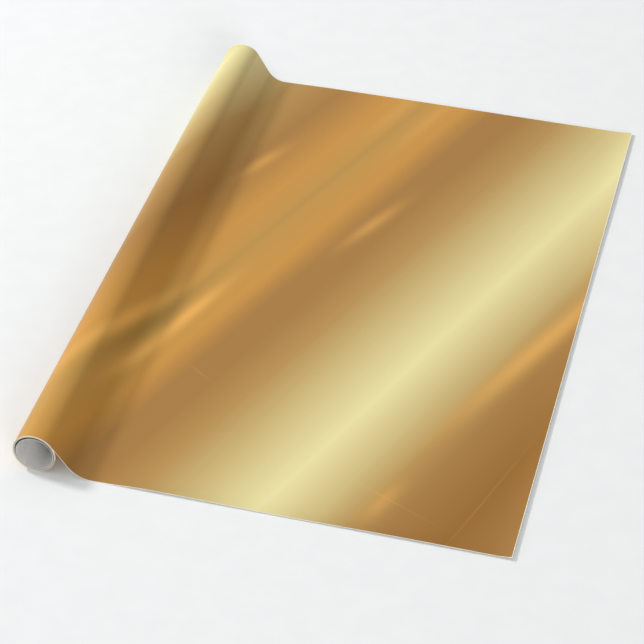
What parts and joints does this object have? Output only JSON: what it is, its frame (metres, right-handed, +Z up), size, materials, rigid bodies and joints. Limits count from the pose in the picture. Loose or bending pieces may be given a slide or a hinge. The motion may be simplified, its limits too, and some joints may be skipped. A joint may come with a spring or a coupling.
{
  "type": "wrapping paper roll",
  "caption": "Roll of gold printed gift wrap lying on a table, part of it pulled out flat; the sheet pulls off as the roll turns, and its card core slides out.",
  "frame": {"origin": "on the table, under the middle of the whole object as it lies with its sheet pulled out", "axes": "+Y along the roll's axis, away from the end that faces the viewer; +X the way the sheet is pulled off; +Z up"},
  "size_m": [0.5116, 0.762, 0.0454],
  "materials": {
    "printed_paper": "satin gold gradient print, white back and trimmed white edge",
    "white_ply": "matt white paper ply",
    "grey_board": "matt grey chipboard",
    "kraft_ply": "matt dark brown kraft ply"
  },
  "bodies": {
    "lead": {"outer_turn": "printed_paper", "lead_off": "printed_paper"},
    "sheet": {"flat_sheet": "printed_paper"},
    "winding": {"wound_paper": "printed_paper"},
    "core": {"core_liner": "white_ply", "core_board": "grey_board", "core_wrap": "kraft_ply"}
  },
  "joints": [
    {"name": "sheet_pull", "type": "slide", "parent": "lead", "child": "sheet", "axis": [1, 0, 0], "range_m": [0, 1.2]},
    {"name": "roll_spin", "type": "hinge", "parent": "lead", "child": "winding", "pos_m": [-0.23315, 0, 0.02267], "axis": [0, 1, 0], "range_deg": [0, 3178]},
    {"name": "core_slide", "type": "slide", "parent": "winding", "child": "core", "axis": [0, -1, 0], "range_m": [0, 0.78]}
  ],
  "couplings": [
    {"joint": "sheet_pull", "follows": "roll_spin", "m_per_rad": 0.021628}
  ]
}
